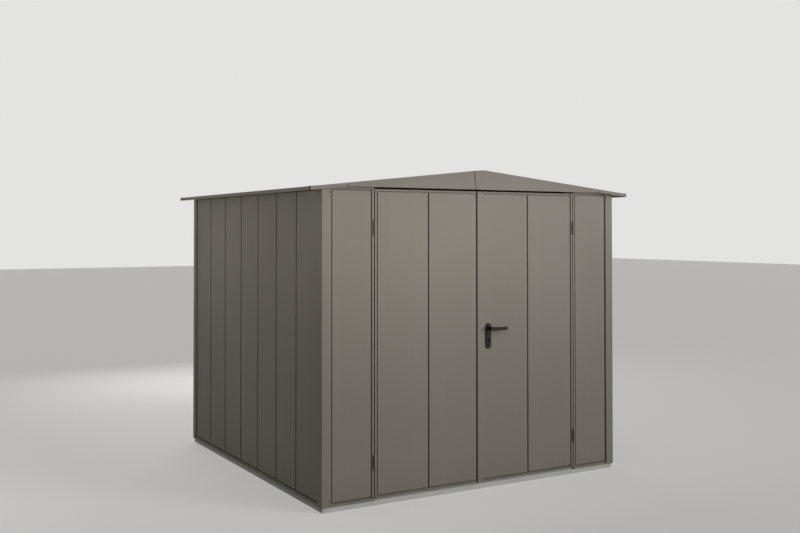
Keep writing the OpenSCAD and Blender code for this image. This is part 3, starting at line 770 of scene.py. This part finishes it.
def hingeHalf(z, upper):
    # one half of a lift-off hinge: a turned knuckle and the bent tab that ends in the gap
    r, pin, bore = hinge["barrel"], hinge["pin"], hinge["pin"] + hinge["room"]
    h = (hinge["length"] - hinge["gap"]) / 2
    centre = (hinge["x"], -hinge["out"], z)
    if upper:
        z0, z1 = hinge["length"] - h, hinge["length"]
        profile = [(bore, z0), (r - 1, z0), (r, z0 + 1), (r, z1 - 2.5), (r - 0.7, z1 - 0.9), (r - 2.4, z1),
                   (0.6, z1), (0.6, z1 - r), (bore, z1 - r)]
        tabX = hinge["x"] - hinge["tabSet"]
    else:
        z0, z1, top = 0, h, h + hinge["pinUp"]
        profile = [(r - 2.4, 0), (r - 0.7, 0.9), (r, 2.5), (r, h - 1), (r - 1, h), (pin, h), (pin, top - 1),
                   (pin - 1, top)]
        tabX = hinge["x"] + hinge["tabSet"] - hinge["tab"]
    tab = block((tabX, tabX + hinge["tab"]), (-hinge["out"], hinge["tabDeep"]), (z + z0, z + z1), 0.6)
    return placedAll([lathe(profile, centre, 2, 28, upper), tab], onFront)


makePair("hingePins", [s for z in hingeZ for s in hingeHalf(z, False)], hingeLightenedPaint, "hinge_pins_")
makePair("hingeSleeves", [s for z in hingeZ for s in hingeHalf(z, True)], hingeLightenedPaint, "hinge_sleeves_", True)

handle = {"x": 70.0, "z": 1050.0, "width": 42.0, "length": 172.0, "rise": 31.0, "thick": 6.8, "rose": 17.0,
          "lever": 130.0, "leverBack": 9.5, "gripDrop": 6.0, "out": 50.0, "neck": 8.0, "drop": 72.0,
          "lockOut": 3.0, "lockRound": 8.5, "lockLeg": 24.0, "lockFoot": 5.0}


def insideOut(p):
    # the same handle on the inner side of the leaf: a mirror at half the leaf's depth
    return p * [1, -1, 1] + [0, door["leafDepth"], 0]


def plateShape():
    # A long plate with round ends: rings of a stadium outline, each (inset, height) of the edge's section,
    # whose round ends have the radius width / 2 - inset
    w, length = handle["width"] / 2, handle["length"] / 2
    section = folded([(0, 0), (0, handle["thick"]), (6, handle["thick"])], 2.4, 6, False, 0.8)
    angle = np.linspace(0, np.pi, 20)
    ring = np.concatenate([angle, angle + np.pi])
    straight = np.repeat([length - w, w - length], 20)
    radius = w - section[:, :1]
    z = handle["z"] + handle["rise"] - length + straight + radius * np.sin(ring)
    return solid(grid(handle["x"] + radius * np.cos(ring), -section[:, 1:], z))


def turnedOut(corners, radius, hold, around):
    # a folded profile of (radius, distance out from the leaf) turned round the spindle
    profile = folded(corners, radius, 3, False, hold) * [1, -1]
    return lathe(profile, (handle["x"], 0, handle["z"]), 1, around)


def roseShape():
    # the round collar that guides the lever
    t, r, n = handle["thick"], handle["rose"], handle["neck"]
    return turnedOut([(r + 1.0, t - 0.5), (r, t + 1.6), (n + 1.5, t + 1.6), (n + 0.6, t - 1)],
                     [0, 1.0, 0.6, 0], 0.3, 40)


def neckShape():
    # the turned neck from the collar out to the grip, waisted in the middle
    n, t, out = handle["neck"], handle["thick"] + 0.6, handle["out"] - 6
    return turnedOut([(n, t - 4), (n, t + 3.5), (n + 2.6, t + 4.5), (n + 2.6, t + 8), (n + 0.6, t + 11),
                      (n - 0.4, (t + out) / 2), (n + 0.4, out - 4), (n + 1.0, out), (n - 2.0, out + 5.0)],
                     1.5, 0.2, 32)


def leverShape():
    # The grip: a rounded box section carried from the neck to its tip. At t along it the height, the
    # thickness and the drop below the spindle are read off short tables; a small ring sits at a third.
    t = np.array([0.0, 0.03, 0.06, 0.10, 0.14, 0.19, 0.26, 0.31, 0.325, 0.335, 0.355, 0.365, 0.38, 0.5, 0.65,
                  0.8, 0.9, 0.945, 0.965, 0.985, 1.0])
    x = handle["x"] - handle["leverBack"] + t * (handle["lever"] + handle["leverBack"])
    high = np.interp(t, [0, 0.03, 0.08, 0.15, 0.3, 0.326, 0.334, 0.356, 0.364, 0.4, 0.9, 0.965, 1.0],
                     [11, 17, 21, 22.5, 21, 21, 23.6, 23.6, 21.4, 21.6, 23.4, 21.5, 13])
    thick = np.interp(t, [0, 0.03, 0.08, 0.3, 0.326, 0.334, 0.356, 0.364, 0.9, 0.965, 1.0],
                      [7.5, 10.5, 12, 10.6, 10.6, 12, 12, 10.6, 11.2, 10.2, 6.5])
    low = handle["gripDrop"] * np.interp(t, [0, 0.06, 0.2, 1.0], [0.1, 0.3, 1.0, 1.0])
    square = folded([(-0.5, -0.5), (0.5, -0.5), (0.5, 0.5), (-0.5, 0.5)], 0.3, 6)
    y = 6.0 - handle["out"] + square[:, 0] * thick[:, None]
    z = handle["z"] - low[:, None] + square[:, 1] * high[:, None]
    return solid(grid(x[:, None], y, z))


lockZ = handle["z"] - handle["drop"]
lockFace = handle["thick"] + handle["lockOut"]


def cylinderOutline(room):
    # the key cylinder's outline: a circle above, a narrow leg with a round foot below
    r, foot = handle["lockRound"] - room, handle["lockFoot"] - room
    start = math.asin(foot / r)
    upper = np.linspace(-np.pi / 2 + start, 1.5 * np.pi - start, 30)
    lower = np.linspace(np.pi, 2 * np.pi, 14)
    return (np.concatenate([r * np.cos(upper), foot * np.cos(lower)]),
            np.concatenate([r * np.sin(upper), foot * np.sin(lower) - handle["lockLeg"]]))


def cylinderShape():
    # the outline carried through the leaf, its two faces slightly rounded at the edge
    front, back = -lockFace, door["leafDepth"] + lockFace
    rows = []
    for room, y in ((0.7, front), (0.2, front + 0.2), (0.0, front + 0.7), (0.0, back - 0.7),
                    (0.2, back - 0.2), (0.7, back)):
        x, z = cylinderOutline(room)
        rows.append(grid(x + handle["x"], y, z + lockZ))
    return solid(np.stack(rows))


def plugShapes():
    # the turning plug with its keyway, on both faces
    shapes = []
    for y, sign in ((-lockFace, -1), (door["leafDepth"] + lockFace, 1)):
        profile = [(5.4, -0.5 * sign), (5.4, 0.35 * sign), (5.0, 0.6 * sign), (1.0, 0.6 * sign)]
        shapes.append(lathe(profile, (handle["x"], y, lockZ), 1, 28))
        keyway = np.array([(-0.9, -3.9), (0.9, -3.9), (0.9, 3.2), (0.3, 3.9), (-0.9, 3.4)])
        shapes.append(solid(along(keyway + [handle["x"], lockZ], [y + 0.2 * sign, y + 0.66 * sign], 1)))
    return shapes


for name, node, body, shapes in (("handlePlate", "handle_plate_", "right_leaf", (plateShape(), roseShape())),
                                 ("lever", "lever_", "lever", (leverShape(), neckShape()))):
    inner = [turned(placed(s, insideOut)) for s in shapes]
    makePiece(name + "Outside", placedAll(shapes, onFront), nylon, [node + "outside"], body)
    makePiece(name + "Inside", placedAll(inner, onFront), nylon, [node + "inside"], body)
makePiece("keyCylinder", placedAll([cylinderShape()] + plugShapes(), onFront), blackPlating,
          ["lock_cylinder"], "right_leaf")
print("hinges and handle made")

roof = {"trimHigh": 24.0, "sheetDrop": 18.2, "sheetIn": 4.0, "ribs": 9, "ribFoot": 66.0, "ribHead": 34.0,
        "ribTop": 2.2, "capHalf": 140.0, "capDrop": 1.2, "lap": 64.0, "lapGap": 5.0, "lapUnder": 12.0,
        "joggle": 4.5, "lapLean": 0.13, "lapMiddle": 2042.0, "return": 24.0, "faceIn": 1.3, "hem": 11.0,
        "boardUp": 9.0, "boardIn": 0.7, "eaveEnd": 9.0, "clip": (5.0, 25.0), "sheet": 0.8, "ribbed": 0.7}
joggleEnd = -roof["lap"] - roof["lapGap"]
joggleStart = joggleEnd - 1.0
boardZ = leafTop + roof["boardUp"]
boardX = (ridgeZ - roof["trimHigh"] - boardZ) / slope


def raised(p):
    # from a height over the slab to a height over the ground
    return p + [0, 0, slabTop]


def roofSheet():
    # A ribbed sheet: heights above the deck follow a trapezoid wave across, rounded at its folds, and
    # fall to the deck just short of the eave. Rows run down the slope, columns across it.
    sheetHalf = gableY - roof["sheetIn"]
    pitch = 2 * sheetHalf / roof["ribs"]
    centres = -sheetHalf + (np.arange(roof["ribs"]) + 0.5) * pitch
    foot, head = roof["ribFoot"] / 2, roof["ribHead"] / 2
    rib = np.array([(-foot, 0), (-head, 1), (head, 1), (foot, 0)])
    corners = (rib + np.stack([centres, 0 * centres], 1)[:, None]).reshape(-1, 2)
    corners = corners * [1, roof["sheetDrop"] - roof["ribTop"]]
    wave = folded(np.vstack([(-sheetHalf, 0), corners, (sheetHalf, 0)]), 4.0, 4, False, 1.0)
    x = np.array([0.4, 40, eaveX * 0.33, eaveX * 0.66, eaveX - 26, eaveX - 13, eaveX - 4.3])[:, None]
    fade = np.array([1, 1, 1, 1, 1, 0, 0])[:, None]
    height = roofLine(x) - roof["sheetDrop"] + wave[:, 1] * fade + slabTop
    return facing(gridShape(grid(x, wave[:, 0], height)), (0, 0, 1)), centres


def ridgeCapShape():
    # a sheet folded along the ridge, its two edges turned down: an outline in x and height along y
    e, end = roof["capHalf"], gableY - 4.4
    drop = roofLine(e) - roof["capDrop"]
    corners = [(-e, drop - 9), (-e, drop), (0, ridgeZ - roof["capDrop"]), (e, drop), (e, drop - 9)]
    return placed(foldedSheet(corners, [0, 2.0, 9.0, 2.0, 0], [-end, 0, end], (0, 0, 1), 5, 1.0), raised)


def eaveChannel():
    # the trim along an eave: a return over the sheet, the face and a hem below, carried along y
    x, z, back = eaveX - roof["faceIn"], roofLine(eaveX) + slabTop - 0.6, roof["return"]
    low, hem, end = z - roof["trimHigh"] + 0.8, x - roof["hem"], gableY - roof["eaveEnd"]
    corners = [(x - back, z + back * slope), (x, z), (x, low), (hem, low), (hem, low + 4.2)]
    return foldedSheet(corners, [0, 2.0, 1.6, 1.2, 0], [-end, end], (1, 0, 0))


sheetShape, ribCentres = roofSheet()
makePair("roofSheet", [sheetShape], roofPaint, "roof_sheet_", sheet=roof["ribbed"])
makePiece("ridgeCap", [ridgeCapShape()], roofPaint, ["ridge_cap"], sheet=roof["sheet"])
makePair("eaveTrim", [eaveChannel()], roofPaint, "eave_trim_", sheet=roof["sheet"])


def gableTrim(start, end):
    # The trim along a gable edge: a return over the sheets, the face and a hem, whose heights follow
    # the roof line from start to end
    x = stations(start, end, (joggleEnd, joggleStart, -2.0, 0.0, 2.0))
    y, low = -gableY + roof["faceIn"], -roof["trimHigh"]
    corners = [(y + roof["return"], -0.4), (y, -0.4), (y, low), (y + 8, low), (y + 8, low + 4)]
    path = folded(corners, [0, 2.0, 1.4, 1.2, 0], 5, False, 0.8)
    line = roofLine(x) - 0.15 * (np.abs(x) < 1) + slabTop
    return facing(gridShape(grid(x[:, None], path[:, 0], path[:, 1] + line[:, None])), (0, -1, 0))


def gableBoard(start, end):
    # the triangular board under the trim: its top follows the trim and its lower edge is level and hemmed
    x = stations(start, end, (joggleEnd, joggleStart, 0.0))
    y = -gableY + roof["faceIn"] + roof["boardIn"]
    path = folded([(y, 60), (y, 0), (y + 10, 0), (y + 10, 4)], [0, 1.6, 1.2, 0], 5, False, 0.8)
    high = roofLine(x)[:, None] - roof["trimHigh"] + 5
    height = np.where(path[:, 1] > 50, high, path[:, 1] + boardZ) + slabTop
    return facing(gridShape(grid(x[:, None], path[:, 0], height)), (0, -1, 0))


def halfTurn(p):
    return p * [-1, -1, 1]


def leaned(p):
    # the cut edge of the lap leans: points near it move along x by a share of their distance below it
    near = np.abs(p[:, :1] + roof["lap"]) < 14
    return p + near * (roof["lapMiddle"] - p[:, 2:]) * roof["lapLean"] * [1, 0, 0]


def joggled(p):
    # the left half steps back just before the right half's edge and runs on behind it
    return p + (p[:, :1] > joggleEnd - 0.1) * [0, roof["joggle"], 0]


corner = eaveX - 0.4
lapEnd = roof["lapUnder"] - roof["lap"]
rightHalf = placedAll([gableTrim(-roof["lap"], corner), gableBoard(-roof["lap"], boardX - 2)], leaned)
leftHalf = placedAll(placedAll([gableTrim(-corner, lapEnd), gableBoard(2 - boardX, lapEnd)], joggled), leaned)
for end, place, sides in (("Front", np.array, ("Right", "Left")), ("Back", halfTurn, ("Left", "Right"))):
    for side, halfShapes in zip(sides, (rightHalf, leftHalf)):
        makePiece("fascia" + end + side, placedAll(halfShapes, place), roofPaint,
                  ["fascia_" + end.lower() + "_" + side.lower()], sheet=roof["sheet"])


def trimClip():
    # a narrow folded clip over the joint of the eave trim and the gable trim: the outline of the eave
    # trim, a little further out, carried a short way along y
    x, z = eaveX - 0.45, roofLine(eaveX) + slabTop + 1.6
    low, back = z - roof["trimHigh"] - 1.6, z + 18 * slope
    corners = [(x - 18, back), (x, z), (x, low), (x - 8, low), (x - 8, low + 1), (x - 0.8, low + 1),
               (x - 0.8, z - 0.9), (x - 18, back - 0.9)]
    return bar(corners, [y - gableY for y in roof["clip"]], 1, 0.3)


# the clips' near-black paint is painted shade for the dark gap where the eave and gable trims meet
rightClips = [trimClip(), flipY(trimClip())]
makePiece("trimClips", rightClips + mirrored(rightClips), clipPaint)

channel = {"beamHalf": 24.5, "beamHigh": 57.0, "beamLip": 12.0, "purlinX": door["opening"] / 2,
           "purlinWide": 39.4, "purlinHigh": 39.5, "room": 0.3, "backEnd": 26.5, "sheet": 1.5}
beamSpan = (-halfD + door["jambDepth"] + 0.5, halfD - channel["backEnd"])


def ridgeBeamShape():
    # a lipped channel, open below, whose top follows both slopes
    e, lip, room = channel["beamHalf"], channel["beamLip"], channel["room"]
    top, crown = underRoof(e + 0.5) - room, underRoof(0) - room
    low = top - channel["beamHigh"]
    corners = [(-lip, low), (-e, low), (-e, top), (0, crown), (e, top), (e, low), (lip, low)]
    return placed(foldedSheet(corners, [0, 3, 3, 6, 3, 3, 0], beamSpan, (0, 0, 1), 4, 1.0), raised)


def purlinShape():
    # a lipped channel that opens towards the ridge, its top along the slope
    near = channel["purlinX"] + channel["room"]
    far = near + channel["purlinWide"]
    top, foot = underRoof(near), underRoof(far) - channel["purlinHigh"]
    corners = [(near, top - 12), (near, top), (far, underRoof(far)), (far, foot), (near, foot),
               (near, foot + 11)]
    return placed(foldedSheet(corners, [0, 2.5, 2.5, 2.5, 2.5, 0], beamSpan, (1, 0, 0), 4, 1.0), raised)


makePiece("ridgeBeam", [ridgeBeamShape()], zincSheet, ["ridge_beam"], sheet=channel["sheet"])
makePiece("purlins", [purlinShape(), flipX(purlinShape())], zincSheet, ["purlins"], sheet=channel["sheet"])
print("roof made")

fixing = {"screwHead": 5.6, "screwIn": 9.0, "screwHeights": (38.0, 1948.0), "rivet": 6.0, "rivetUp": 8.0,
          "rivetIn": 4.0, "roofHead": 4.0, "washer": 7.5, "capRivet": 4.2, "capIn": 24.0, "bolt": 5.0,
          "boltWasher": 7.0, "boltSide": 8.0, "boltHeights": (140.0, 700.0, 1280.0, 1840.0), "anchorIn": 22.0}


def headShape(radius, height, around):
    # a low domed head on the axis +z: radius * cos and height * sin of an angle from edge to crown
    angle = np.linspace(0, np.pi / 2 - 0.35, 4)
    profile = [(radius * 0.98, -0.6)] + [(radius * math.cos(a), height * math.sin(a)) for a in angle]
    return lathe(profile, (0, 0, 0), 2, around)


def hexShape(radius, height, washer):
    # a hexagon head with a rounded crown over a flat washer, on the axis +z
    ring = lathe([(washer, -0.3), (washer, 0.9), (washer - 0.6, 1.3), (radius * 0.6, 1.3)], (0, 0, 0), 2, 12)
    head = lathe([(radius, 1.0), (radius, height - 0.6), (radius * 0.84, height)], (0, 0, 0), 2, 6)
    return [ring, head]


def outOf(side):
    # the turn that points +z out of a wall: its columns are along the wall, up and out
    place = onWall(side)
    return (place(np.array([[1, 0, 0], [0, 0, 1], [0, -1, 0]])) - place(np.zeros(3))).T


screwHead = headShape(fixing["screwHead"], 2.4, 14)
screwX = halfW - wall["postEdge"] + fixing["screwIn"]
spots = np.array([(s * screwX, -postOut, h) for s in (-1, 1) for h in fixing["screwHeights"]])
makePiece("postScrews", [scattered(screwHead, onWall(side)(spots), outOf(side))
                         for side in ("front", "back", "left", "right")], paintedScrew)

rivetHead = headShape(fixing["rivet"], 1.2, 14)
shapes = []
for sign in (-1, 1):
    x = boardX - fixing["rivetIn"]
    z = roofLine(x) - roof["trimHigh"] + fixing["rivetUp"] + slabTop
    spot = np.array([[sign * x, -gableY + roof["faceIn"], z]])
    shapes.append(scattered(rivetHead, spot, outOf("front")))
    shapes.append(scattered(rivetHead, spot * [1, -1, 1], outOf("back")))
makePiece("trimRivets", shapes, clipPaint)


def slopeTurn(sign):
    # +z turned square to the right or the left roof slope
    a = math.atan(slope) * sign
    return np.array([[math.cos(a), 0, math.sin(a)], [0, 1, 0], [-math.sin(a), 0, math.cos(a)]])


valleys = (ribCentres[:-1] + ribCentres[1:]) / 2
screwRows = (channel["purlinX"] + 20, halfW - 24)   # over the purlins and over the side walls
capX = roof["capHalf"] - fixing["capIn"]
ring, head = hexShape(fixing["roofHead"], 5.0, fixing["washer"])
capRivet = headShape(fixing["capRivet"], 1.0, 12)
washerParts, headParts = [], []
for sign in (-1, 1):
    rows = [(sign * x, y, roofLine(x) - roof["sheetDrop"] + slabTop + 0.2)
            for x in screwRows for y in valleys]
    caps = [(sign * capX, y, roofLine(capX) - roof["capDrop"] + slabTop) for y in ribCentres]
    washerParts.append(scattered(ring, rows, slopeTurn(sign)))
    headParts.append(scattered(head, rows, slopeTurn(sign)))
    headParts.append(scattered(capRivet, caps, slopeTurn(sign)))
makePiece("roofScrews", headParts, paintedScrew)
makePiece("roofWashers", washerParts, rubber)

# inside: hexagon bolts through the flanges of neighbouring trays, and anchors through the rails' feet
boltParts = []
for side, cells in wallCells.items():
    td, middles = wall["trayDepth"], (cells[:-1] + cells[1:]) / 2
    flanges = np.array([(u + s * fixing["boltSide"], td + 0.2, h) for u in cells[1:-1] for s in (-1, 1)
                        for h in fixing["boltHeights"]])
    backs = np.array([(u, td + 3.4, 42.0) for u in middles])
    feet = np.array([(u, td + fixing["anchorIn"], 2.0) for u in middles])
    inwards = outOf(side) * [-1, 1, -1]
    for shape in hexShape(fixing["bolt"], 5.2, fixing["boltWasher"]):
        boltParts.append(scattered(shape, onWall(side)(flanges), inwards))
        boltParts.append(scattered(shape, onWall(side)(backs), inwards))
        boltParts.append(scattered(shape, onWall(side)(feet)))
makePiece("insideBolts", boltParts, zincScrew)
print("fixings made")

studio = {"floor": "#cfcdc9", "floorBounce": "#a09f9a", "floorGlow": 0.3, "floorHalf": 40.0,
          "backdrop": "#e3e3e1", "sky": 0.14, "skyColour": "#fbfaf6", "lampColour": "#ffffff"}
sun = {"strength": 2.04, "right": 40.0, "up": 6.0, "spread": 24.0}
strips = {   # power in watts, place, aim and size in metres
    "front": (10.8, (-0.35, -2.3, 1.85), (-0.35, -1.19, 1.85), (3.7, 0.4)),
    "left": (5.6, (-2.25, 0.25, 1.85), (-1.19, 0.25, 1.85), (3.4, 0.4)),
    "side": (8.6, (-4.2, 0.3, 1.4), (-1.19, 0.3, 0.9), (3.0, 1.0)),
    "back": (70.0, (0.6, 5.0, 2.6), (0.3, 1.19, 1.2), (3.4, 1.4))}
view = {"place": (-3.8648, -6.5860, 1.7406), "turn": (91.014, 0.0, -29.89), "lens": 43.82, "sensor": 36.0,
        "shift": (0.0223, -0.0661), "far": 200.0}


def seenDirectly(tree):
    # 1 on rays from the camera, from a reflection or through clear material, and 0 on bounced light
    path = addNode(tree, "LightPath")
    both = addNode(tree, "Math", {"operation": "ADD"},
                   {0: path.outputs["Is Camera Ray"], 1: path.outputs["Is Glossy Ray"]})
    return addNode(tree, "Math", {"operation": "ADD", "use_clamp": True},
                   {0: both, 1: path.outputs["Is Transmission Ray"]})


def makeFloor():
    # A wide plain floor. It is pale to the camera and in reflections, and darker to the light that
    # bounces off it, so that the walls stay a little darker towards the ground.
    side = np.linspace(-studio["floorHalf"], studio["floorHalf"], 9)
    points, quads = gridShape(grid(side[:, None], side, 0))[:2]
    mesh = bpy.data.meshes.new("studioFloor")
    mesh.from_pydata(points.tolist(), [], quads.tolist())
    material, tree, shader = newMaterial("studioFloor", studio["floorBounce"], 0.0, 0.9, 1.5, 0.2)[:3]
    seen = seenDirectly(tree)
    mixed = addNode(tree, "Mix", {"data_type": "RGBA", 6: hexColour(studio["floorBounce"]),
                                  7: hexColour(studio["floor"])}, {0: seen})
    glow = addNode(tree, "Math", {"operation": "MULTIPLY", 1: studio["floorGlow"]}, {0: seen})
    feed(tree, shader, {"Base Color": mixed.outputs[2], "Emission Strength": glow})
    mesh.materials.append(material)
    addObject("studioFloor", mesh)


def makeWorld():
    # soft even light from all round; the camera and reflections see the pale backdrop colour
    world = bpy.data.worlds.new("studio")
    bpy.context.scene.world = world
    world.use_nodes = True
    tree = world.node_tree
    tree.nodes.clear()
    light = addNode(tree, "Background", {"Color": hexColour(studio["skyColour"]), "Strength": studio["sky"]})
    seen = addNode(tree, "Background", {"Color": hexColour(studio["backdrop"]), "Strength": 1.0})
    mix = addNode(tree, "MixShader", {}, {0: seenDirectly(tree), 1: light, 2: seen})
    addNode(tree, "OutputWorld", {}, {0: mix})


def addLight(name, kind, energy):
    light = bpy.data.lights.new(name, kind)
    light.energy = energy
    light.color = hexColour(studio["lampColour"])[:3]
    return light, addObject(name, light)


def makeLamp(name, power, place, aim, size):
    # a long soft strip lamp; it points along the line from its place to its aim, and nothing sees it
    light, holder = addLight(name, "AREA", power)
    light.shape = "RECTANGLE"
    light.size, light.size_y = size
    holder.location = place
    holder.visible_camera = False
    holder.visible_glossy = False
    x, y, z = np.array(aim) - np.array(place)
    holder.rotation_euler = (math.atan2(math.hypot(x, y), -z), 0, math.atan2(-x, y))


def makeSun():
    # an even light from far away in front, low and to the right, so that every fold has a darker side
    light, holder = addLight("sun", "SUN", sun["strength"])
    light.angle = math.radians(sun["spread"])
    holder.rotation_euler = (math.radians(90 - sun["up"]), 0, math.radians(sun["right"]))


def makeCamera():
    lens = bpy.data.cameras.new("view")
    lens.lens = view["lens"]
    lens.sensor_width = view["sensor"]
    lens.shift_x, lens.shift_y = view["shift"]
    lens.clip_end = view["far"]
    camera = addObject("view", lens)
    camera.location = view["place"]
    camera.rotation_euler = [math.radians(a) for a in view["turn"]]
    bpy.context.scene.camera = camera


makeFloor()
makeWorld()
makeSun()
for name, lamp in strips.items():
    makeLamp(name, *lamp)
makeCamera()
bpy.context.scene.view_settings.view_transform = "Standard"
print("studio ready")
